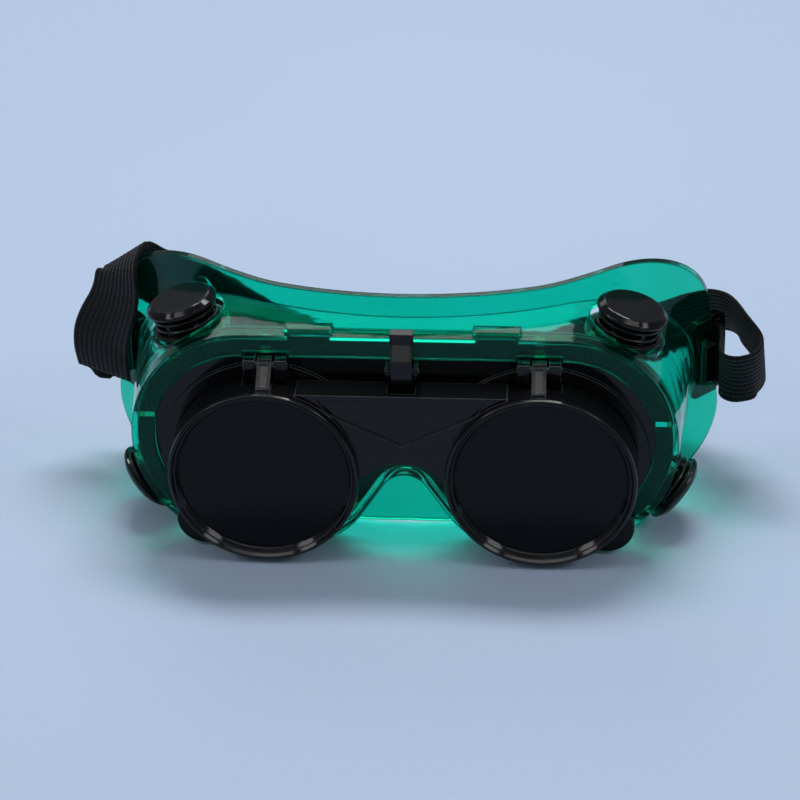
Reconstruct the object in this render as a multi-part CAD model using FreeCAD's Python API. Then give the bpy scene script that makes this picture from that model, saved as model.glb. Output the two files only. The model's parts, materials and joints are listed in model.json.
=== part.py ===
import FreeCAD, Part
import math
import os

from FreeCAD import Placement, Rotation
from FreeCAD import Vector as V

# Flip-front welding goggles. Millimetres, +Z up, the wearer looks along -Y.
# Shapes are laid out by depth, which is how far a point lies behind the front of the two lens rings,
# and are moved forward by MID_DEPTH when they are written, so the whole stands centred on the origin.
MID_DEPTH = 44.6

# Lenses
LENS_R = 25.0
LENS_X = 39.1
LENS_Z = 28.5
LENS_RECESS = 2.6
DARK_LENS_T = 3.0
CLEAR_LENS_T = 2.0

# Soft mask frame. Outlines are the right half, anticlockwise from the nose: (x, z, corner radius).
NOSE_SLOPE = math.tan(math.radians(57))
LIP_TOP = 68.1
LIP_OUTLINE = [(0, 29.5, 7), (29.5 / NOSE_SLOPE, 0, 22), (77.5, 0, 34.5), (77.5, LIP_TOP, 32.5)]
BACK_OUTLINE = [(0, 50.5, 12), (47.5 / NOSE_SLOPE, 3, 20), (83.5, 3, 30), (83.5, 70, 36)]
FLANGE_OUTLINE = [(0, 1.5, 0), (38, 0, 60), (91, 0, 20), (83.7, 80, 26), (40, 74.9, 80)]
LIP_FRONT = 11.7
LIP_BACK = 13.5
BACK_DEPTH = 68.0
WALL = 1.8
LIP_WIDTH = 6.75
FACE_R = 118.0
FACE_DEPTH = 23.3
FLANGE_T = 2.0
BUMP_X = 26.3
BUMP_HALF = 6.7
BUMP_RISE = 1.3

# Fixed front plate
PLATE_FRONT = 13.6
PLATE_BACK = 16.4
BOSS_FRONT = 12.2
BOSS_R = 30.5
SEAT_R = 28.0
SEAT_BACK = 20.9

# Hinge and latch
AXIS_DEPTH = 10.5
HINGE_X = 38.3
HINGE_Z = 59.3
LATCH_Z = 58.3
HINGE_PIN_R = 1.25
LATCH_PIN_R = 1.0
RUNNING_GAP = 0.05
TONGUE_HALF = 2.0
LUG_IN = 2.7
LUG_OUT = 6.0
EAR_IN = 3.35
EAR_OUT = 4.5

# Flip front
RING_R = 27.1
RING_BACK = 11.3
BRIDGE_FRONT = 2.6
BRIDGE_BACK = 4.6
LEDGE_Z = 54.5
LEDGE_T = 2.0
LEDGE_HALF = 29.5
TAB_R = 8.0
TAB_X = 57.5
TAB_Z = 9.0

# Vents: seat centre (x, depth, z) on the wall and the tilt of the axis above the horizontal, degrees
VENTS = {"upper": ((61.8, 29.3, 61.4), 75.0, 0.0), "lower": ((70.6, 30.2, 15.3), -38.0, -0.09)}
VENT_HOLE_R = 7.5
VENT_PAD_R = 11.5
VENT_CAP_R = 10.3
VENT_TOP = 9.3
LOUVRES = (2.4, 4.7)

# Strap and its clips
STRAP_W = 20.0
STRAP_T = 1.3
STRAP_STEP = 4.0
CLIP_X = 85.5
CLIP_Z = 35.5
CLIP_H = 25.0
CLIP_T = 2.4


# ---------------------------------------------------------------- helpers

def moved_corners(corners, inset):
    """The corners of a half outline and its mirror image, with every edge moved inwards by inset."""
    loop = list(corners)
    loop += [(-x, z, r) for x, z, r in reversed(corners) if x > 0]
    count = len(loop)
    result = []
    for i in range(count):
        (ax, az, _), (bx, bz, radius), (cx, cz, _) = loop[i - 1], loop[i], loop[(i + 1) % count]
        into = V(bx - ax, 0, bz - az).normalize()
        out = V(cx - bx, 0, cz - bz).normalize()
        turn = into.x * out.z - into.z * out.x
        bend = 1 + into.dot(out)
        shift = (V(-into.z, 0, into.x) + V(-out.z, 0, out.x)) * (inset / bend)
        if radius:
            radius += -inset if turn > 0 else inset
        result.append((V(bx, 0, bz) + shift, into, out, turn, radius))
    return result


def outline(corners, depth, inset=0.0):
    """Closed wire of straight edges and corner arcs in the plane at this depth."""
    runs = []
    for corner, into, out, turn, radius in moved_corners(corners, inset):
        if not radius:
            runs.append((corner, None, corner))
            continue
        half = math.acos(max(-1, min(1, into.dot(out)))) / 2
        reach = radius * math.tan(half)
        side = V(-into.z, 0, into.x) if turn > 0 else V(into.z, 0, -into.x)
        start = corner - into * reach
        centre = start + side * radius
        middle = centre + (corner - centre).normalize() * radius
        runs.append((start, middle, corner + out * reach))
    level = V(0, depth, 0)
    edges = []
    for i, (start, middle, end) in enumerate(runs):
        if middle:
            edges.append(Part.Arc(start + level, middle + level, end + level).toShape())
        edges.append(Part.makeLine(end + level, runs[(i + 1) % len(runs)][0] + level))
    return Part.Wire(edges)


def prism(wire, depth_span):
    return Part.Face(wire).extrude(V(0, depth_span, 0))


def cavity(inset):
    """The space inside the flared walls, with its sides this far in from their outer surface."""
    front = outline(LIP_OUTLINE, LIP_FRONT, inset)
    back = outline(BACK_OUTLINE, BACK_DEPTH, inset)
    return Part.makeLoft([front, back], True, True)


def block(x, depth, z):
    """Box from pairs of low and high limits."""
    return Part.makeBox(x[1] - x[0], depth[1] - depth[0], z[1] - z[0], V(x[0], depth[0], z[0]))


def slab(low, high):
    return block((-120, 120), (low, high), (-20, 120))


def disc(radius, x, z, low, high):
    """Cylinder along the depth axis."""
    return Part.makeCylinder(radius, high - low, V(x, low, z), V(0, 1, 0))


def rod(radius, middle, half, height):
    """Cylinder along X at the depth of the pins, this far to either side of its middle."""
    return Part.makeCylinder(radius, 2 * half, V(middle - half, AXIS_DEPTH, height), V(1, 0, 0))


def side_profile(points, x_low, x_high):
    """Prism along X from (depth, z) points."""
    corners = [V(x_low, d, z) for d, z in points]
    face = Part.Face(Part.makePolygon(corners + corners[:1]))
    return face.extrude(V(x_high - x_low, 0, 0))


def turned(points, x, z):
    """Solid of revolution about the depth axis through (x, z), from (radius, depth) points."""
    corners = [V(x + r, d, z) for r, d in points]
    face = Part.Face(Part.makePolygon(corners + corners[:1]))
    return face.revolve(V(x, 0, z), V(0, 1, 0), 360)


def turned_up(points):
    """Solid of revolution about Z, from (radius, height) points."""
    corners = [V(r, 0, h) for r, h in points]
    face = Part.Face(Part.makePolygon(corners + corners[:1]))
    return face.revolve(V(0, 0, 0), V(0, 0, 1), 360)


def mirrored(shape):
    return shape.mirror(V(0, 0, 0), V(1, 0, 0))


def both(shape):
    """The shape and its mirror image across X."""
    return [shape, mirrored(shape)]


def united(shapes):
    return shapes[0].fuse(shapes[1:])


# ---------------------------------------------------------------- soft mask frame

def face_drum(radius):
    """Upright drum that the back of the mask is cut to."""
    return Part.makeCylinder(radius, 160, V(0, FACE_DEPTH + FACE_R, -30), V(0, 0, 1))


def vent_place(name):
    """Placement of a right-hand vent: its seat at the origin and its axis along +Z before the move."""
    (x, depth, z), tilt, lean = VENTS[name]
    angle = math.radians(tilt)
    axis = V(math.cos(angle), lean, math.sin(angle)).normalize()
    return Placement(V(x, depth, z), Rotation(V(0, 0, 1), axis))


def at_vents(shape):
    """The shape at all four vents."""
    placed = []
    for name in VENTS:
        copy = shape.copy()
        copy.Placement = vent_place(name)
        placed += both(copy)
    return placed


def clip_place(u=0.0, w=0.0):
    """Placement in the right-hand temple flange: local X runs outwards along it, Y to the rear."""
    angle = math.asin(CLIP_X / (FACE_R - FLANGE_T / 2))
    depth = FACE_DEPTH + FACE_R - (FACE_R - FLANGE_T / 2) * math.cos(angle)
    turn = Rotation(V(0, 0, 1), math.degrees(angle))
    return Placement(V(CLIP_X, depth, CLIP_Z) + turn.multVec(V(u, w, 0)), turn)


def at_temple(shape):
    copy = shape.copy()
    copy.Placement = clip_place()
    return copy


def mask_frame():
    hollow = cavity(WALL).common(slab(LIP_BACK, BACK_DEPTH + 1))
    shell = cavity(0).cut(hollow).cut(face_drum(FACE_R))
    face_skin = face_drum(FACE_R).cut(face_drum(FACE_R - FLANGE_T))
    flange = prism(outline(FLANGE_OUTLINE, 20), 60).common(face_skin).cut(hollow)
    bead = cavity(WALL - 0.3).cut(cavity(3.6)).common(slab(PLATE_BACK + 0.3, PLATE_BACK + 1.8))
    for x in (-LENS_X, LENS_X):
        bead = bead.cut(disc(SEAT_R + 0.5, x, LENS_Z, 10, 30))
    bumps = both(block((BUMP_X - BUMP_HALF, BUMP_X + BUMP_HALF), (LIP_BACK, PLATE_BACK + 1.2),
                       (LIP_TOP - 1, LIP_TOP + BUMP_RISE)))
    pads = at_vents(turned_up([(0, -2.4), (VENT_PAD_R, -2.4), (VENT_PAD_R, 0.3), (0, 0.3)]))
    skirt = turned_up([(VENT_PAD_R - WALL, -14), (VENT_PAD_R, -14), (VENT_PAD_R, 0),
                       (VENT_PAD_R - WALL, 0)])
    skirts = [s.cut(cavity(WALL)) for s in at_vents(skirt)]
    frame = united([shell, flange, bead] + bumps + skirts)
    frame = frame.cut(at_vents(Part.makeCylinder(VENT_PAD_R - WALL, 12, V(0, 0, -14.4))))
    frame = united([frame] + pads)
    frame = frame.cut(at_vents(Part.makeCylinder(VENT_PAD_R - 0.2, 9, V(0, 0, 0.3))))
    frame = frame.cut(at_vents(Part.makeCylinder(VENT_HOLE_R, 8, V(0, 0, -4))))
    half = BUMP_HALF - 0.8
    pockets = both(block((BUMP_X - half, BUMP_X + half), (LIP_BACK, PLATE_BACK + 0.3),
                         (LIP_TOP - 4, LIP_TOP + BUMP_RISE - 0.8)))
    slots = both(at_temple(block((-1.9, 0.1), (-4, 4), (-6.5, 6.5))))
    reliefs = both(block((HINGE_X - LUG_OUT - 0.4, HINGE_X + LUG_OUT + 0.4), (LIP_FRONT - 1, LIP_BACK),
                         (58, HINGE_Z + 3.5)))
    opening = prism(outline(LIP_OUTLINE, LIP_FRONT - 1, LIP_WIDTH), 4)
    return frame.cut(pockets + slots + reliefs + [opening])


# ---------------------------------------------------------------- fixed front

def hinge_lug(x_low, x_high):
    """Flat-topped cheek beside a hinge tongue."""
    low, high = HINGE_Z - 3.6, HINGE_Z + 2.5
    return side_profile([(8.3, low), (8.3, high - 0.4), (8.7, high), (PLATE_FRONT + 0.3, high),
                         (PLATE_FRONT + 0.3, low)], x_low, x_high)


def latch_ear(radius=2.2):
    """Round-nosed ear that carries one end of the latch pin."""
    middle, half = (EAR_IN + EAR_OUT) / 2, (EAR_OUT - EAR_IN) / 2
    post = block((EAR_IN, EAR_OUT), (AXIS_DEPTH, PLATE_FRONT + 0.3), (LATCH_Z - radius, LATCH_Z + radius))
    return rod(radius, middle, half, LATCH_Z).fuse(post)


def front_plate():
    xs = (-LENS_X, LENS_X)
    plate = cavity(2.0).common(slab(PLATE_FRONT, PLATE_BACK))
    window = prism(outline(LIP_OUTLINE, BOSS_FRONT, LIP_WIDTH + 0.3), PLATE_FRONT - BOSS_FRONT + 0.2)
    bosses = [disc(BOSS_R, x, LENS_Z, BOSS_FRONT, PLATE_FRONT + 0.2).common(window) for x in xs]
    seats = [disc(SEAT_R, x, LENS_Z, PLATE_BACK - 0.2, SEAT_BACK).common(cavity(2.2)) for x in xs]
    half = BUMP_HALF - 1.1
    tabs = both(block((BUMP_X - half, BUMP_X + half), (PLATE_FRONT, PLATE_BACK),
                      (LIP_TOP - 3, LIP_TOP + 0.2)))
    plate = united([plate] + bosses + seats + tabs)
    for x in xs:
        plate = plate.cut(disc(LENS_R - 1.2, x, LENS_Z, BOSS_FRONT - 1, PLATE_BACK + 1))
        plate = plate.cut(disc(LENS_R + 0.1, x, LENS_Z, PLATE_BACK, SEAT_BACK + 1))
    cuts = both(block((HINGE_X - LUG_OUT - 0.5, HINGE_X + LUG_OUT + 0.5), (0, PLATE_FRONT), (55.5, 63)))
    cuts += both(block((HINGE_X - 1.5, HINGE_X + 1.5), (0, 20), (62.8, 75)))
    cuts += both(block((70.8, 80), (0, 20), (39, 42.2)))
    cuts += both(block((10, 14.8), (0, 16.3), (10.4, 13.6)))
    plate = plate.cut(cuts)
    lugs = both(hinge_lug(HINGE_X + LUG_IN, HINGE_X + LUG_OUT))
    lugs += both(hinge_lug(HINGE_X - LUG_OUT, HINGE_X - LUG_IN))
    plate = united([plate] + lugs + both(latch_ear()))
    bores = both(rod(HINGE_PIN_R, HINGE_X, LUG_OUT + 1, HINGE_Z))
    return plate.cut(bores + [rod(LATCH_PIN_R, 0, EAR_OUT + 1, LATCH_Z)])


def round_lens(x, front, thickness):
    edge = 0.3
    return turned([(0, front), (LENS_R - edge, front), (LENS_R, front + edge),
                   (LENS_R, front + thickness - edge), (LENS_R - edge, front + thickness),
                   (0, front + thickness)], x, LENS_Z)


def lens_ring(x, front, thickness):
    """Snap ring behind a lens, with three finger notches."""
    ring = turned([(LENS_R - 2, front), (LENS_R + 0.05, front), (LENS_R + 0.05, front + thickness),
                   (LENS_R - 1.6, front + thickness), (LENS_R - 2, front + thickness - 0.4)], x, LENS_Z)
    for step in range(3):
        angle = math.radians(90 + 120 * step)
        notch = disc(1.6, x + (LENS_R - 2) * math.cos(angle), LENS_Z + (LENS_R - 2) * math.sin(angle),
                     front - 1, front + thickness + 1)
        ring = ring.cut(notch)
    return ring


# ---------------------------------------------------------------- flip front

def lens_tunnel(x):
    """What a flip-front ring leaves open: the bevel in front, the sight hole and the lens bore."""
    return turned([(0, -1), (26.6, -1), (25.9, 0.15), (25.3, 0.95), (25.0, 1.0), (24.2, 2.0), (24.0, 2.3),
                   (24.0, LENS_RECESS), (LENS_R + 0.1, LENS_RECESS), (LENS_R + 0.1, RING_BACK + 1),
                   (0, RING_BACK + 1)], x, LENS_Z)


def ring_blank(x):
    return turned([(0, 0), (RING_R - 0.8, 0), (RING_R - 0.25, 0.35), (RING_R, 1.0), (RING_R, RING_BACK - 0.4),
                   (RING_R - 0.4, RING_BACK), (0, RING_BACK)], x, LENS_Z)


def bridge_face(depth_low, depth_high):
    """Web between the rings, arched over the nose."""
    low, high = V(13.5, depth_low, 22.5), V(LEDGE_HALF, depth_low, LEDGE_Z)
    inner = V(LENS_X - 4, depth_low, LENS_Z)
    left = [V(-p.x, p.y, p.z) for p in (high, inner, low)]
    edges = [Part.makeLine(low, inner), Part.makeLine(inner, high), Part.makeLine(high, left[0]),
             Part.makeLine(left[0], left[1]), Part.makeLine(left[1], left[2]),
             Part.Arc(left[2], V(0, depth_low, 33), low).toShape()]
    return prism(Part.Wire(edges), depth_high - depth_low)


def tongue():
    """Hinge tongue of the right-hand ring, sloping from the ring's brow up to its barrel."""
    arm = [(1.6, 54.0), (1.6, 55.9), (2.0, 56.4), (8.7, 61.6), (11.4, 58.0), (11.2, 54.0)]
    groove = [(2.9, 56.45), (2.6, 58.2), (8.2, 62.3), (8.1, 60.6)]
    x_low, x_high = HINGE_X - TONGUE_HALF, HINGE_X + TONGUE_HALF
    body = side_profile(arm, x_low, x_high).fuse(rod(2.9, HINGE_X, TONGUE_HALF, HINGE_Z))
    return body.cut(side_profile(groove, HINGE_X - 1.1, HINGE_X + 1.1))


def vee_panel():
    """The sunk panel between the rings, pointed at the bottom."""
    corners = [(-23.5, 52.9), (23.5, 52.9), (20.5, 47.8), (19.4, 47.8), (0, 38.4), (-19.4, 47.8),
               (-20.5, 47.8)]
    wire = Part.makePolygon([V(x, 0, z) for x, z in corners + corners[:1]])
    return prism(wire, BRIDGE_FRONT + 0.8)


def flip_front():
    xs = (-LENS_X, LENS_X)
    tab = turned([(0, 9.3), (TAB_R - 0.4, 9.3), (TAB_R, 9.7), (TAB_R, RING_BACK), (0, RING_BACK)],
                 TAB_X, TAB_Z)
    ledge = block((-LEDGE_HALF, LEDGE_HALF), (BRIDGE_FRONT, RING_BACK), (LEDGE_Z - LEDGE_T, LEDGE_Z))
    bridge = bridge_face(BRIDGE_FRONT, BRIDGE_BACK)
    front = united([ring_blank(x) for x in xs] + [bridge, ledge] + both(tab))
    panel = vee_panel()
    for x in xs:
        front = front.cut(lens_tunnel(x))
        panel = panel.cut(disc(RING_R + 0.2, x, LENS_Z, -1, 10))
    rest = both(block((HINGE_X - 6.4, HINGE_X + 6.4), (6.4, 12), (54.7, 58)))
    notch = block((-3.9, 3.9), (BRIDGE_BACK, 12), (51.6, 56))
    catch = block((-3, 3), (BRIDGE_BACK - 0.2, 6.2), (48.5, 50.0))
    front = front.cut([panel, notch] + rest)
    front = united([front, catch] + both(tongue()))
    return front.cut(both(rod(HINGE_PIN_R + RUNNING_GAP, HINGE_X, 4, HINGE_Z)))


def front_latch():
    """Rocker with a finger pad over the lip and a nose that goes down through the ledge."""
    stem = [(7.6, 52.6), (7.6, 62.9), (9.9, 67.0), (9.9, 68.7), (11.3, 68.7), (11.3, 57.0), (9.4, 55.0),
            (9.4, 50.8), (6.5, 50.8), (6.5, 51.7)]
    pad = [(9.9, 67.2), (9.9, 69.9), (10.2, 70.2), (13.0, 70.2), (13.3, 69.9), (13.3, 68.7), (11.2, 68.7),
           (11.2, 67.2)]
    body = side_profile(stem, -3.0, 3.0).fuse(side_profile(pad, -3.3, 3.3))
    cheeks = side_profile([(7.2, 62.2), (7.2, 64.2), (10.4, 69), (10.4, 66.3)], 2.6, 3.1)
    return body.cut(both(cheeks) + [rod(LATCH_PIN_R + RUNNING_GAP, 0, 4, LATCH_Z)])


# ---------------------------------------------------------------- vents

def vent_body():
    """Snap-in sleeve with a seat flange, louvre rings on posts and a hub for the cap's stem."""
    sleeve = turned_up([(5.9, -5), (6.9, -5), (8.5, -3.6), (8.5, -2.9), (7.4, -2.6), (7.4, 0.35),
                        (10.1, 0.35), (10.3, 0.6), (10.3, 1.2), (9.6, 1.6), (5.9, 1.6)])
    parts = [sleeve]
    for low in LOUVRES:
        parts.append(turned_up([(6.6, low), (9.0, low), (9.2, low + 0.2), (9.2, low + 0.6),
                                (9.0, low + 0.8), (6.6, low + 0.8)]))
    top = LOUVRES[-1] + 0.8
    parts.append(turned_up([(1.6, 1.2), (2.8, 1.2), (2.8, top), (1.6, top)]))
    for step in range(6):
        spin = Placement(V(0, 0, 0), Rotation(V(0, 0, 1), 60 * step)).toMatrix()
        parts.append(Part.makeBox(1.6, 1.4, top - 1, V(6.8, -0.7, 1.0)).transformGeometry(spin))
        for low in LOUVRES:
            parts.append(Part.makeBox(5.0, 1.2, 0.8, V(2.4, -0.6, low)).transformGeometry(spin))
    return united(parts)


def vent_cap():
    top, rim = VENT_TOP, VENT_CAP_R
    cap = turned_up([(0, top - 2.8), (rim - 1.4, top - 2.8), (rim - 1.4, top - 2.3), (rim - 0.4, top - 2.6),
                     (rim, top - 2.1), (rim, top - 1.6), (rim - 0.25, top - 1.2), (rim - 1.5, top - 0.15),
                     (rim - 1.9, top), (0, top)])
    return cap.fuse(Part.makeCylinder(1.5, top - 2, V(0, 0, -0.4)))


# ---------------------------------------------------------------- clips and strap

def strap_clip():
    """Ladder clip behind the temple flange, with a hook through the flange's slot."""
    half = CLIP_H / 2
    plate = prism(outline([(7.5, -half, 3), (7.5, half, 3)], 1.6), CLIP_T)
    plate.translate(V(2, 0, 0))
    window = block((3.9, 7.3), (0, 6), (-half + 2.2, half - 2.2))
    neck = block((-1.6, -0.2), (-1.6, 2.0), (-6.0, 6.0))
    head = block((-2.9, 1.1), (-2.6, -1.4), (-6.0, 6.0))
    return at_temple(plate.cut(window).fuse([neck, head]))


# Strap stations: centre (x, depth, z) and the direction from its upper edge to its lower one
STRAP_RUN = [
    ((-92.4, 57.8, 29.5), (-0.85, 0.45, 0.25)),
    ((-92.8, 57.1, 34.0), (-0.85, 0.45, 0.25)),
    ((-92.5, 56.8, 41.0), (-0.84, 0.48, 0.18)),
    ((-89.3, 56.0, 50.0), (-0.75, 0.62, 0.00)),
    ((-86.9, 55.8, 58.0), (-0.70, 0.60, -0.32)),
    ((-85.9, 57.3, 64.6), (-0.62, 0.50, -0.55)),
    ((-84.5, 61.3, 66.6), (-0.64, 0.42, -0.61)),
    ((-81.6, 64.3, 63.6), (-0.66, 0.32, -0.67)),
    ((-78.2, 67.0, 59.0), (-0.66, 0.15, -0.73)),
    ((-70.7, 73.4, 51.0), (-0.60, 0.00, -0.80)),
    ((-61.5, 80.0, 41.5), (-0.52, -0.05, -0.85)),
    ((-48.0, 84.8, 30.0), (-0.38, 0.00, -0.92)),
    ((-33.0, 87.4, 20.2), (-0.22, 0.00, -0.98)),
    ((-16.0, 88.2, 13.8), (-0.05, 0.00, -1.00)),
    ((0.0, 88.5, 11.6), (0.00, 0.00, -1.00)),
    ((13.0, 88.3, 12.2), (0.00, 0.00, -1.00)),
    ((28.0, 87.7, 15.0), (0.00, 0.02, -1.00)),
    ((42.0, 86.8, 20.0), (0.00, 0.05, -1.00)),
    ((56.0, 85.8, 26.8), (0.00, 0.10, -0.99)),
    ((69.0, 82.8, 32.2), (0.00, 0.20, -0.98)),
    ((77.6, 79.2, 38.6), (0.00, 0.35, -0.94)),
    ((85.2, 75.9, 43.8), (0.00, 0.50, -0.87)),
    ((92.6, 69.9, 46.0), (0.00, 0.60, -0.80)),
    ((97.2, 63.0, 44.0), (0.00, 0.60, -0.80)),
    ((101.7, 55.4, 38.9), (0.08, 0.47, -0.88)),
    ((98.4, 50.4, 36.7), (0.00, 0.35, -0.94)),
    ((93.3, 51.7, 35.2), (0.00, 0.45, -0.89)),
    ((89.9, 57.7, 35.0), (0.00, 0.25, -0.97)),
    ((90.1, 63.4, 35.2), (0.00, 0.00, -1.00)),
    ((87.4, 67.6, 35.5), (0.00, 0.00, -1.00)),
    ((84.1, 67.8, 35.5), (0.00, 0.00, -1.00)),
    ((79.5, 63.4, 35.5), (0.00, 0.00, -1.00)),
]
STRAP_END_RUN = [
    ((-79.5, 63.4, 35.5), (0.00, 0.00, -1.00)),
    ((-84.1, 68.0, 35.5), (0.00, 0.00, -1.00)),
    ((-87.7, 68.2, 35.5), (0.00, 0.00, -1.00)),
    ((-90.7, 64.9, 35.6), (0.00, 0.00, -1.00)),
    ((-91.1, 61.1, 35.8), (0.00, 0.00, -1.00)),
    ((-93.2, 60.6, 36.5), (0.00, 0.00, -1.00)),
    ((-96.9, 62.8, 37.4), (0.00, 0.00, -1.00)),
]


def ribbon(stations):
    """Flat webbing through the stations, as straight-sided lengths about STRAP_STEP long, but at least 8."""
    points = [V(*centre) for centre, _ in stations]
    curve = Part.BSplineCurve()
    curve.interpolate(points)
    knots = [curve.parameter(p) for p in points]
    count = max(8, round(curve.length() / STRAP_STEP))
    sections = []
    for i in range(count + 1):
        at = curve.parameterAtDistance(curve.length() * i / count, curve.FirstParameter)
        after = min(max(1, sum(k <= at for k in knots)), len(knots) - 1)
        share = (at - knots[after - 1]) / (knots[after] - knots[after - 1])
        share = share * share * (3 - 2 * share)
        across = V(*stations[after - 1][1]) * (1 - share) + V(*stations[after][1]) * share
        along = V(curve.tangent(at)[0])
        across = (across - along * across.dot(along)).normalize()
        thick = along.cross(across).normalize() * (STRAP_T / 2)
        across *= STRAP_W / 2
        centre = curve.value(at)
        corners = [centre + across + thick, centre + across - thick,
                   centre - across - thick, centre - across + thick]
        sections.append(Part.makePolygon(corners + corners[:1]))
    print("strap length", round(curve.length(), 1))
    return Part.makeLoft(sections, True, True)


# ---------------------------------------------------------------- assembly

def write(name, shape):
    """One sub-part, moved to the centred frame."""
    placed = shape.copy()
    placed.translate(V(0, -MID_DEPTH, 0))
    placed.exportStep(os.path.join("parts", name + ".step"))
    return placed


os.makedirs("parts", exist_ok=True)
for old in os.listdir("parts"):
    os.remove(os.path.join("parts", old))

nodes = {
    "mask_frame": mask_frame(),
    "front_plate": front_plate(),
    "flip_front": flip_front(),
    "front_latch": front_latch(),
    "latch_pin": rod(LATCH_PIN_R, 0, EAR_OUT + 0.3, LATCH_Z),
    "head_strap": ribbon(STRAP_RUN),
    "strap_end_left": ribbon(STRAP_END_RUN),
}
for side, sign in (("left", -1), ("right", 1)):
    x = sign * LENS_X
    nodes["dark_lens_" + side] = round_lens(x, LENS_RECESS + 0.05, DARK_LENS_T)
    nodes["lens_retainer_" + side] = lens_ring(x, LENS_RECESS + 0.1 + DARK_LENS_T, 2.0)
    nodes["clear_lens_" + side] = round_lens(x, PLATE_BACK + 0.05, CLEAR_LENS_T)
    nodes["clear_lens_ring_" + side] = lens_ring(x, PLATE_BACK + 0.1 + CLEAR_LENS_T, 1.6)
    nodes["hinge_pin_" + side] = rod(HINGE_PIN_R, sign * HINGE_X, LUG_OUT + 0.3, HINGE_Z)
    clip = strap_clip()
    nodes["strap_clip_" + side] = mirrored(clip) if sign < 0 else clip
    for level in VENTS:
        for piece, shape in (("vent_body", vent_body()), ("vent_cap", vent_cap())):
            shape.Placement = vent_place(level)
            nodes["_".join((piece, level, side))] = mirrored(shape) if sign < 0 else shape

box = None
for name, shape in nodes.items():
    placed = write(name, shape)
    print(name, len(placed.Solids), placed.isValid(), round(placed.Volume, 1))
    if box is None:
        box = placed.BoundBox
    box.add(placed.BoundBox)
print("whole", [round(v, 2) for v in (box.XMin, box.XMax, box.YMin, box.YMax, box.ZMin, box.ZMax)])
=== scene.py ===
import json
import math

import bmesh
import bpy
import numpy as np
from mathutils import Matrix, Vector


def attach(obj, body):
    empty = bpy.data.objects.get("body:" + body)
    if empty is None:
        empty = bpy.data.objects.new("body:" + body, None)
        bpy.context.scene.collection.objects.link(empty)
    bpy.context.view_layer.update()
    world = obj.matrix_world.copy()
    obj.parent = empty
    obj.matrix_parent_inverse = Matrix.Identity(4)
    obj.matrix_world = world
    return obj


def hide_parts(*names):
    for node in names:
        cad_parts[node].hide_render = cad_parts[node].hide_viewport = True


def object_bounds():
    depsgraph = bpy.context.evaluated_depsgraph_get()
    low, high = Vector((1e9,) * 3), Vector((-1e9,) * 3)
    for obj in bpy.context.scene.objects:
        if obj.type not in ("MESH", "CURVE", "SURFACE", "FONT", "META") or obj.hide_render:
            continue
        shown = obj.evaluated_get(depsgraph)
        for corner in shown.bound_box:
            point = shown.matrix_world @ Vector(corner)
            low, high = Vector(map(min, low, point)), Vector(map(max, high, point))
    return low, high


# Flip-front welding goggles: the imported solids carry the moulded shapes, this script adds the webbing,
# the stitching, every material, the floor, the light and the camera. Metres, +Z up, lenses towards -Y.
MM = 0.001
FLOOR_SIDE = 5.0
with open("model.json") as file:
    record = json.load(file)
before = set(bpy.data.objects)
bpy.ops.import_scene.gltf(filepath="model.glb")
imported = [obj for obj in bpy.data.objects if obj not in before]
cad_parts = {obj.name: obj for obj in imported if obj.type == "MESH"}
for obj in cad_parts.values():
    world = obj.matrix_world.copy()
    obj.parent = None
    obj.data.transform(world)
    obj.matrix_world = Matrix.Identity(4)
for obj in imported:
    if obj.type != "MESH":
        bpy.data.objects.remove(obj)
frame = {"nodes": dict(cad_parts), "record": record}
cad_low, cad_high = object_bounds()
SLOT_OF = {part["node"]: part["material_slot"] for part in frame["record"]["subparts"]}


# ---------------------------------------------------------------- camera, floor and light

def unit(azimuth, elevation):
    """Direction from the object towards a viewer; azimuth 0 is in front, degrees."""
    a, e = math.radians(azimuth), math.radians(elevation)
    return Vector((math.sin(a) * math.cos(e), -math.cos(a) * math.cos(e), math.sin(e)))


def put(name, data):
    """A new object in the scene with this data."""
    made = bpy.data.objects.new(name, data)
    bpy.context.scene.collection.objects.link(made)
    return made


def camera():
    """Long lens, a little to the right of the middle, with the slight roll of the photograph."""
    data = bpy.data.cameras.new("camera")
    data.lens, data.sensor_width = 150, 36
    data.clip_start, data.clip_end = 0.01, 20
    made = put("camera", data)
    azimuth, elevation, roll, distance = 4.7, 30.0, 1.2, 0.921
    target = Vector((0.15 * MM, cad_low.y, 55.2 * MM))
    back = unit(azimuth, elevation)
    right = Vector((0, 0, 1)).cross(back).normalized()
    up = back.cross(right)
    turn = Matrix.Rotation(math.radians(-roll), 3, back)
    axes = Matrix((turn @ right, turn @ up, back)).transposed()
    made.matrix_world = Matrix.Translation(target + back * distance) @ axes.to_4x4()
    bpy.context.scene.camera = made


def floor():
    half = FLOOR_SIDE / 2
    corners = [(-half, -half, 0), (half, -half, 0), (half, half, 0), (-half, half, 0)]
    mesh = bpy.data.meshes.new("floor")
    mesh.from_pydata(corners, [], [(0, 1, 2, 3)])
    mesh.materials.append(floor_paint())
    put("floor", mesh)


def softbox(name, azimuth, elevation, distance, size, watts):
    """Area light that faces the middle of the goggles."""
    data = bpy.data.lights.new(name, "AREA")
    data.shape, data.size, data.size_y = "RECTANGLE", *size
    data.energy = watts
    made = put(name, data)
    middle = (cad_low + cad_high) / 2
    back = unit(azimuth, elevation)
    made.location = middle + back * distance
    made.rotation_mode = "QUATERNION"
    made.rotation_quaternion = (-back).to_track_quat("-Z", "Y")


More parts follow.
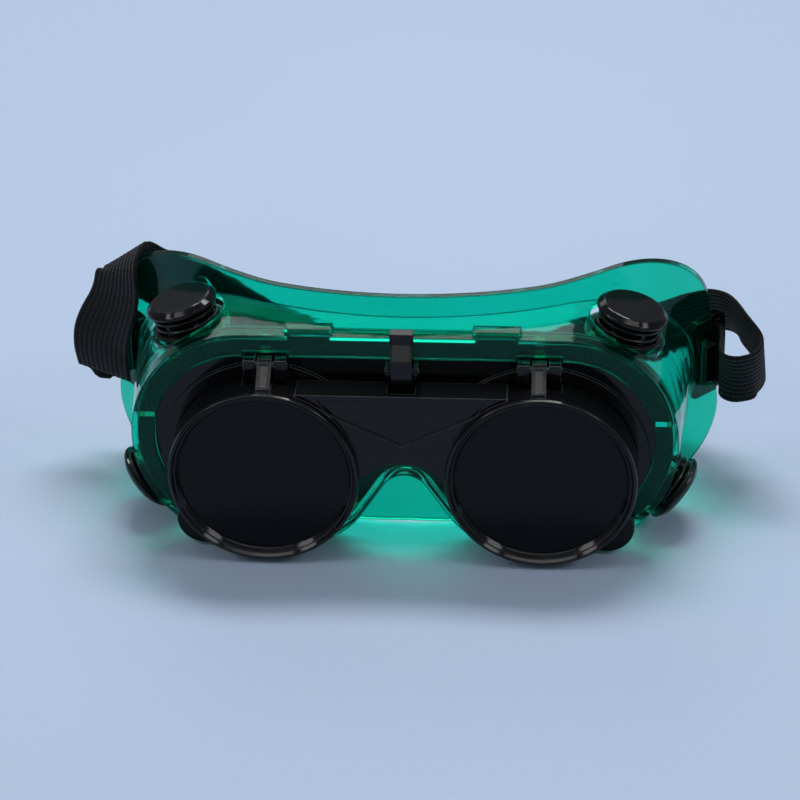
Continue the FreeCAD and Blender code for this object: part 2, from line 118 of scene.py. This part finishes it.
def studio():
    """Strong light from behind and above, weak light from the front and sides, pale blue surroundings."""
    softbox("key_overhead", 174, 68, 1.0, (0.6, 0.22), 5.9)
    softbox("panel_back_left", 197, 36, 1.2, (0.8, 0.4), 1.7)
    softbox("front_top", 0, 71, 1.1, (1.5, 0.07), 1.1)
    softbox("front_low", -6, 29, 1.2, (0.25, 0.12), 0.12)
    softbox("side_left", -66, 38, 1.1, (0.45, 0.26), 1.5)
    softbox("side_right", 68, 38, 1.1, (0.45, 0.26), 1.5)
    world = bpy.data.worlds.new("studio")
    bpy.context.scene.world = world
    world.use_nodes = True
    background = world.node_tree.nodes["Background"]
    background.inputs["Color"].default_value = (0.80, 0.87, 1.0, 1)
    background.inputs["Strength"].default_value = 0.22
    bpy.context.scene.view_settings.view_transform = "Standard"


# ---------------------------------------------------------------- material nodes

class Paint:
    """A material and short calls to fill its node tree."""

    def __init__(self, name):
        self.material = bpy.data.materials.new(name)
        self.material.use_nodes = True
        self.tree = self.material.node_tree
        self.tree.nodes.clear()
        self.place = self.add("TexCoord").outputs["Object"]

    def add(self, kind, settings=None, **inputs):
        """A node with its inputs given by name, with _ for a space, or by number as i0, i1 and so on."""
        node = self.tree.nodes.new("ShaderNode" + kind)
        for name, value in (settings or {}).items():
            setattr(node, name, value)
        for name, value in inputs.items():
            self.feed(node, name.replace("_", " "), value)
        return node

    def feed(self, node, name, value):
        """Link another node's output to an input, or set the input's own value."""
        socket = node.inputs[int(name[1:])] if name[0] == "i" and name[1:].isdigit() else node.inputs[name]
        if isinstance(value, bpy.types.NodeSocket):
            self.tree.links.new(value, socket)
        else:
            socket.default_value = value

    def math(self, operation, a, b=0.0):
        return self.add("Math", {"operation": operation}, i0=a, i1=b).outputs[0]

    def noise(self, scale, detail=3.0, roughness=0.5, at=None, distortion=0.0):
        node = self.add("TexNoise", Vector=at or self.place, Scale=scale, Detail=detail,
                        Roughness=roughness, Distortion=distortion)
        return node.outputs["Fac"]

    def stretched(self, x, y, z):
        """Object coordinates scaled per axis."""
        return self.add("Mapping", Vector=self.place, Scale=(x, y, z)).outputs["Vector"]

    def spread(self, value, low, high, start=0.3, end=0.7):
        """The value from start to end mapped to low to high."""
        return self.add("MapRange", i0=value, i1=start, i2=end, i3=low, i4=high).outputs[0]

    def mixed(self, share, a, b):
        """Colour a where the share is 0, b where it is 1."""
        return self.add("Mix", {"data_type": "RGBA"}, i0=share, i6=a, i7=b).outputs[2]

    def bump(self, height, distance, strength=1.0, normal=None):
        node = self.add("Bump", Height=height, Distance=distance, Strength=strength)
        if normal is not None:
            self.feed(node, "Normal", normal)
        return node.outputs["Normal"]

    def rounded(self, radius):
        """Normals as if the sharp edges had this radius, and a mask of those edges."""
        bevel = self.add("Bevel", {"samples": 4}, Radius=radius).outputs["Normal"]
        flat = self.add("NewGeometry").outputs["Normal"]
        likeness = self.add("VectorMath", {"operation": "DOT_PRODUCT"}, i0=bevel, i1=flat).outputs["Value"]
        return bevel, self.spread(likeness, 1.0, 0.0, 0.8, 0.995)

    def upward(self, normal):
        """How far a normal leans up, from 0 to 1."""
        height = self.add("SeparateXYZ", Vector=normal).outputs["Z"]
        return self.spread(height, 0.0, 1.0, 0.15, 0.75)

    def clear_shadow(self, shader, colour):
        """The shader, with a tinted shadow as if light went straight through."""
        through = self.add("BsdfTransparent", Color=colour)
        shadow = self.add("LightPath").outputs["Is Shadow Ray"]
        return self.add("MixShader", i0=shadow, i1=shader.outputs[0], i2=through.outputs[0]).outputs[0]

    def finish(self, shader):
        output = self.add("OutputMaterial")
        self.tree.links.new(shader, output.inputs["Surface"])
        return self.material


def floor_paint():
    """Matt pale blue, with a very slight cloud and grain."""
    paint = Paint("floor")
    tone = paint.spread(paint.noise(3.0, 2.0), 0.0, 1.0)
    colour = paint.mixed(tone, (0.47, 0.585, 0.765, 1), (0.49, 0.605, 0.785, 1))
    grain = paint.bump(paint.noise(900.0, 2.0), 0.0001, 0.25)
    shader = paint.add("BsdfPrincipled", Base_Color=colour, Roughness=0.55, Normal=grain)
    shader.inputs["Specular IOR Level"].default_value = 0.3
    return paint.finish(shader.outputs[0])


def pvc_green():
    """Glossy see-through soft PVC: clear green wall, faint milky body, edges darkened with painted shade for
    the long light path through them, slightly wavy surface.
    """
    paint = Paint("pvc_green")
    edges, edge_share = paint.rounded(0.0008)
    waves = paint.noise(70.0, 2.0)
    pores = paint.noise(1400.0, 2.0)
    relief = paint.bump(waves, 0.0009, 0.30, paint.bump(pores, 0.00002, 0.12, edges))
    cloud = paint.spread(paint.noise(35.0, 3.0), 0.0, 1.0)
    wall = paint.mixed(cloud, (0.004, 0.66, 0.40, 1), (0.008, 0.72, 0.45, 1))
    # Painted shade: the wall colour turns dark green at the edges, standing in for light lost along the
    # wall's edge.
    tint = paint.mixed(edge_share, wall, (0.0, 0.04, 0.03, 1))
    polish = paint.spread(paint.noise(180.0, 4.0), 0.03, 0.09)
    rough = paint.math("ADD", polish, paint.math("MULTIPLY", edge_share, 0.4))
    glass = paint.add("BsdfPrincipled", Base_Color=tint, Roughness=rough, Normal=relief)
    glass.inputs["IOR"].default_value = 1.34
    glass.inputs["Specular Tint"].default_value = (0.40, 0.74, 0.70, 1)
    glass.inputs["Transmission Weight"].default_value = 1.0
    body = paint.add("BsdfDiffuse", Color=(0.0, 0.36, 0.27, 1), Normal=relief)
    milky = paint.add("MixShader", i0=0.006, i1=glass.outputs[0], i2=body.outputs[0])
    # Painted shade: a dark diffuse layer mixed over the edges, which also hides their reflections.
    painted_edge_shade = paint.add("BsdfDiffuse", Color=(0.0, 0.045, 0.032, 1), Normal=relief)
    painted_edge_shade_share = paint.math("MULTIPLY", edge_share, 0.65)
    painted_edge_shaded = paint.add("MixShader", i0=painted_edge_shade_share, i1=milky.outputs[0], i2=painted_edge_shade.outputs[0])
    return paint.finish(paint.clear_shadow(painted_edge_shaded, (0.13, 0.82, 0.66, 1)))


def black_plastic():
    """Glossy moulded plastic with faint flow clouds, fine scuffs, and a painted highlight on the
    upward-facing edges.
    """
    paint = Paint("black_plastic")
    edges, edge_share = paint.rounded(0.0004)
    flow = paint.noise(45.0, 3.0, 0.6, distortion=0.6)
    scuffs = paint.noise(1.0, 5.0, 0.7, paint.stretched(260, 900, 420))
    # Painted highlight: up-facing edges turn lighter, as if they caught the overhead light, broken up by the
    # scuff pattern.
    lit_upper_edges = paint.math("MULTIPLY", edge_share, paint.upward(edges))
    painted_edge_highlight = paint.math("MULTIPLY", lit_upper_edges, paint.spread(scuffs, 0.45, 1.0, 0.35, 0.65))
    body = paint.mixed(paint.spread(flow, 0.0, 1.0), (0.0030, 0.0030, 0.0038, 1), (0.0055, 0.0055, 0.0066, 1))
    # The light grey is the painted highlight colour.
    colour = paint.mixed(painted_edge_highlight, body, (0.190, 0.190, 0.197, 1))
    rough = paint.math("ADD", paint.spread(scuffs, 0.06, 0.13), paint.math("MULTIPLY", painted_edge_highlight, 0.14))
    relief = paint.bump(scuffs, 0.00003, 0.35, paint.bump(flow, 0.0005, 0.12, edges))
    shader = paint.add("BsdfPrincipled", Base_Color=colour, Roughness=rough, Normal=relief)
    shader.inputs["IOR"].default_value = 1.5
    shader.inputs["Specular IOR Level"].default_value = 0.26
    return paint.finish(shader.outputs[0])


def dark_glass():
    """Near-black polished filter, a little blue, with faint wiping marks."""
    paint = Paint("dark_glass")
    smears = paint.noise(1.0, 3.0, 0.6, paint.stretched(60, 60, 22), 0.8)
    tone = paint.spread(smears, 0.0, 1.0)
    colour = paint.mixed(tone, (0.0024, 0.0031, 0.0046, 1), (0.0034, 0.0042, 0.0060, 1))
    rough = paint.spread(smears, 0.05, 0.11)
    shader = paint.add("BsdfPrincipled", Base_Color=colour, Roughness=rough)
    shader.inputs["IOR"].default_value = 1.5
    shader.inputs["Specular IOR Level"].default_value = 0.15
    return paint.finish(shader.outputs[0])


def clear_glass():
    """Colourless safety lens with faint wiping marks."""
    paint = Paint("clear_glass")
    smears = paint.noise(1.0, 3.0, 0.6, paint.stretched(50, 50, 20), 0.5)
    tint = paint.mixed(paint.spread(smears, 0.0, 1.0), (0.90, 0.96, 0.94, 1), (0.93, 0.98, 0.96, 1))
    glass = paint.add("BsdfPrincipled", Base_Color=tint, Roughness=paint.spread(smears, 0.0, 0.04))
    glass.inputs["IOR"].default_value = 1.5
    glass.inputs["Transmission Weight"].default_value = 1.0
    return paint.finish(paint.clear_shadow(glass, (0.95, 0.98, 0.97, 1)))


def pin_steel():
    """Blackened steel wire with fine rings along the pin."""
    paint = Paint("pin_steel")
    lines = paint.noise(1.0, 3.0, 0.6, paint.stretched(2600, 300, 300))
    colour = paint.mixed(paint.spread(lines, 0.0, 1.0), (0.045, 0.045, 0.048, 1), (0.10, 0.10, 0.105, 1))
    relief = paint.bump(lines, 0.00002, 0.5)
    rough = paint.spread(lines, 0.25, 0.42)
    shader = paint.add("BsdfPrincipled", Base_Color=colour, Roughness=rough, Normal=relief)
    shader.inputs["Metallic"].default_value = 1.0
    return paint.finish(shader.outputs[0])


def webbing():
    """Black rib-knit elastic: a chain of small V stitches along every rib, painted shade in the gaps between
    ribs and stitches, slight fuzz.

    The UV map holds millimetres: U across the band, V along it."""
    paint = Paint("webbing")
    uv = paint.add("SeparateXYZ", Vector=paint.add("UVMap").outputs["UV"])
    across = paint.math("MULTIPLY", uv.outputs["X"], 1 / RIB_PITCH)
    place = paint.math("FRACT", across)
    side = paint.math("ABSOLUTE", paint.math("SUBTRACT", place, 0.5))
    slanted = paint.math("ADD", paint.math("MULTIPLY", uv.outputs["Y"], 1 / STITCH_PITCH),
                         paint.math("MULTIPLY", side, 1.1))
    wave = paint.math("SINE", paint.math("MULTIPLY", slanted, math.tau))
    stitch = paint.spread(wave, 0.0, 1.0, -0.8, 1.0)
    crown = paint.spread(side, 1.0, 0.0, 0.12, 0.5)
    height = paint.math("MULTIPLY", crown, paint.math("ADD", paint.math("MULTIPLY", stitch, 0.65), 0.35))
    fuzz = paint.noise(2600.0, 3.0, 0.7)
    height = paint.math("ADD", height, paint.math("MULTIPLY", fuzz, 0.5))
    raised = paint.spread(height, 0.0, 1.0, 0.2, 1.3)
    # Painted shade: the valleys between ribs and stitches are darker and the raised crowns lighter.
    shade = paint.mixed(raised, (0.0013, 0.0012, 0.0014, 1), (0.0115, 0.0110, 0.0120, 1))
    worn = paint.spread(paint.noise(60.0, 3.0), 0.0, 0.35)
    colour = paint.mixed(worn, shade, (0.0072, 0.0069, 0.0074, 1))
    relief = paint.bump(height, 0.00022, 1.0)
    rough = paint.spread(fuzz, 0.62, 0.85)
    shader = paint.add("BsdfPrincipled", Base_Color=colour, Roughness=rough, Normal=relief)
    shader.inputs["Sheen Weight"].default_value = 0.10
    shader.inputs["Sheen Roughness"].default_value = 0.4
    shader.inputs["Specular IOR Level"].default_value = 0.2
    return paint.finish(shader.outputs[0])


# ---------------------------------------------------------------- webbing

STRAP_WIDTH = 20.0
STRAP_THICK = 1.3
RIBS = 11
RIB_PITCH = STRAP_WIDTH / RIBS
STITCH_PITCH = 1.25
RIB_DEPTH = 0.14
VALLEY_SHARPNESS = 3
SELVAGE_SHARE = 0.55
POINTS_PER_RIB = 4
SECTION_STEP = 1.25
PATH_SAMPLES = 4000

# Stations of the band in millimetres, depth counted from the front of the lens rings: the centre, and the
# direction from the band's upper edge to its lower one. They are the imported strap's own stations.
STRAP_RUN = [
    ((-92.4, 57.8, 29.5), (-0.85, 0.45, 0.25)),
    ((-92.8, 57.1, 34.0), (-0.85, 0.45, 0.25)),
    ((-92.5, 56.8, 41.0), (-0.84, 0.48, 0.18)),
    ((-89.3, 56.0, 50.0), (-0.75, 0.62, 0.00)),
    ((-86.9, 55.8, 58.0), (-0.70, 0.60, -0.32)),
    ((-85.9, 57.3, 64.6), (-0.62, 0.50, -0.55)),
    ((-84.5, 61.3, 66.6), (-0.64, 0.42, -0.61)),
    ((-81.6, 64.3, 63.6), (-0.66, 0.32, -0.67)),
    ((-78.2, 67.0, 59.0), (-0.66, 0.15, -0.73)),
    ((-70.7, 73.4, 51.0), (-0.60, 0.00, -0.80)),
    ((-61.5, 80.0, 41.5), (-0.52, -0.05, -0.85)),
    ((-48.0, 84.8, 30.0), (-0.38, 0.00, -0.92)),
    ((-33.0, 87.4, 20.2), (-0.22, 0.00, -0.98)),
    ((-16.0, 88.2, 13.8), (-0.05, 0.00, -1.00)),
    ((0.0, 88.5, 11.6), (0.00, 0.00, -1.00)),
    ((13.0, 88.3, 12.2), (0.00, 0.00, -1.00)),
    ((28.0, 87.7, 15.0), (0.00, 0.02, -1.00)),
    ((42.0, 86.8, 20.0), (0.00, 0.05, -1.00)),
    ((56.0, 85.8, 26.8), (0.00, 0.10, -0.99)),
    ((69.0, 82.8, 32.2), (0.00, 0.20, -0.98)),
    ((77.6, 79.2, 38.6), (0.00, 0.35, -0.94)),
    ((85.2, 75.9, 43.8), (0.00, 0.50, -0.87)),
    ((92.6, 69.9, 46.0), (0.00, 0.60, -0.80)),
    ((97.2, 63.0, 44.0), (0.00, 0.60, -0.80)),
    ((101.7, 55.4, 38.9), (0.08, 0.47, -0.88)),
    ((98.4, 50.4, 36.7), (0.00, 0.35, -0.94)),
    ((93.3, 51.7, 35.2), (0.00, 0.45, -0.89)),
    ((89.9, 57.7, 35.0), (0.00, 0.25, -0.97)),
    ((90.1, 63.4, 35.2), (0.00, 0.00, -1.00)),
    ((87.4, 67.6, 35.5), (0.00, 0.00, -1.00)),
    ((84.1, 67.8, 35.5), (0.00, 0.00, -1.00)),
    ((79.5, 63.4, 35.5), (0.00, 0.00, -1.00)),
]
STRAP_END_RUN = [
    ((-79.5, 63.4, 35.5), (0.00, 0.00, -1.00)),
    ((-84.1, 68.0, 35.5), (0.00, 0.00, -1.00)),
    ((-87.7, 68.2, 35.5), (0.00, 0.00, -1.00)),
    ((-90.7, 64.9, 35.6), (0.00, 0.00, -1.00)),
    ((-91.1, 61.1, 35.8), (0.00, 0.00, -1.00)),
    ((-93.2, 60.6, 36.5), (0.00, 0.00, -1.00)),
    ((-96.9, 62.8, 37.4), (0.00, 0.00, -1.00)),
]


def spline(knots, values, at):
    """Natural cubic through values at the knots, sampled at the given parameters."""
    count = len(knots)
    gaps = np.diff(knots)
    system = np.eye(count)
    right = np.zeros_like(values)
    for i in range(1, count - 1):
        system[i, i - 1:i + 2] = gaps[i - 1], 2 * (gaps[i - 1] + gaps[i]), gaps[i]
        right[i] = 6 * ((values[i + 1] - values[i]) / gaps[i] - (values[i] - values[i - 1]) / gaps[i - 1])
    bend = np.linalg.solve(system, right)
    span = np.clip(np.searchsorted(knots, at, side="right") - 1, 0, count - 2)
    gap = gaps[span][:, None]
    before, after = (at - knots[span])[:, None], (knots[span + 1] - at)[:, None]
    return (bend[span] * after**3 + bend[span + 1] * before**3) / (6 * gap) + (
        values[span] / gap - bend[span] * gap / 6) * after + (
        values[span + 1] / gap - bend[span + 1] * gap / 6) * before


def band_frames(stations):
    """Evenly spaced centres along the band, in millimetres, with the directions across it and through it."""
    points = np.array([centre for centre, _ in stations])
    downs = np.array([down for _, down in stations])
    knots = np.concatenate([[0], np.cumsum(np.linalg.norm(np.diff(points, axis=0), axis=1))])
    fine = np.linspace(0, knots[-1], PATH_SAMPLES)
    path = spline(knots, points, fine)
    run = np.concatenate([[0], np.cumsum(np.linalg.norm(np.diff(path, axis=0), axis=1))])
    count = round(run[-1] / SECTION_STEP) + 1
    lengths = np.linspace(0, run[-1], count)
    at = np.interp(lengths, run, fine)
    centre = spline(knots, points, at)
    along = np.gradient(centre, axis=0)
    along /= np.linalg.norm(along, axis=1)[:, None]
    across = np.stack([np.interp(at, knots, downs[:, k]) for k in range(3)], axis=1)
    across -= along * (across * along).sum(axis=1)[:, None]
    across /= np.linalg.norm(across, axis=1)[:, None]
    return lengths, centre, across, np.cross(along, across)


def rib_section():
    """Closed cross-section of the band, ribbed on both faces: (across, out) in millimetres."""
    count = RIBS * POINTS_PER_RIB
    across = np.linspace(-STRAP_WIDTH / 2, STRAP_WIDTH / 2, count + 1)
    valley = np.abs(np.cos(np.pi * (across + STRAP_WIDTH / 2) / RIB_PITCH)) ** VALLEY_SHARPNESS
    rise = STRAP_THICK / 2 - RIB_DEPTH * valley
    rise[[0, -1]] *= SELVAGE_SHARE
    face = list(zip(across, rise))
    return face + [(a, -h) for a, h in reversed(face)]


def webbing_band(name, stations, node):
    """A length of ribbed band that stands for a plain strap solid."""
    lengths, centre, across, out = band_frames(stations)
    section = rib_section()
    size = len(section)
    mesh = bmesh.new()
    uv = mesh.loops.layers.uv.new("UVMap")
    rings = []
    for c, a, o in zip(centre, across, out):
        spots = [c + a * s + o * h for s, h in section]
        rings.append([mesh.verts.new((x * MM, y * MM + cad_low.y, z * MM)) for x, y, z in spots])
    for i in range(len(rings) - 1):
        for j in range(size):
            k = (j + 1) % size
            face = mesh.faces.new((rings[i][j], rings[i + 1][j], rings[i + 1][k], rings[i][k]))
            for loop, (row, column) in zip(face.loops, ((i, j), (i + 1, j), (i + 1, k), (i, k))):
                loop[uv].uv = (section[column][0] + STRAP_WIDTH / 2, lengths[row])
    for ring in (rings[0], rings[-1]):
        for j in range(size // 2 - 1):
            mesh.faces.new((ring[j], ring[j + 1], ring[size - 2 - j], ring[size - 1 - j]))
    bmesh.ops.recalc_face_normals(mesh, faces=mesh.faces)
    data = bpy.data.meshes.new(name)
    mesh.to_mesh(data)
    mesh.free()
    data.shade_smooth()
    data.materials.append(paints["webbing"])
    made = put(name, data)
    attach(made, "root")
    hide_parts(node)


# ---------------------------------------------------------------- the scene

camera()
floor()
studio()
paints = {maker.__name__: maker()
          for maker in (pvc_green, black_plastic, dark_glass, clear_glass, pin_steel, webbing)}
for name, node in frame["nodes"].items():
    node.data.materials.clear()
    node.data.materials.append(paints[SLOT_OF[name]])
webbing_band("strap_band", STRAP_RUN, "head_strap")
webbing_band("strap_end_band", STRAP_END_RUN, "strap_end_left")
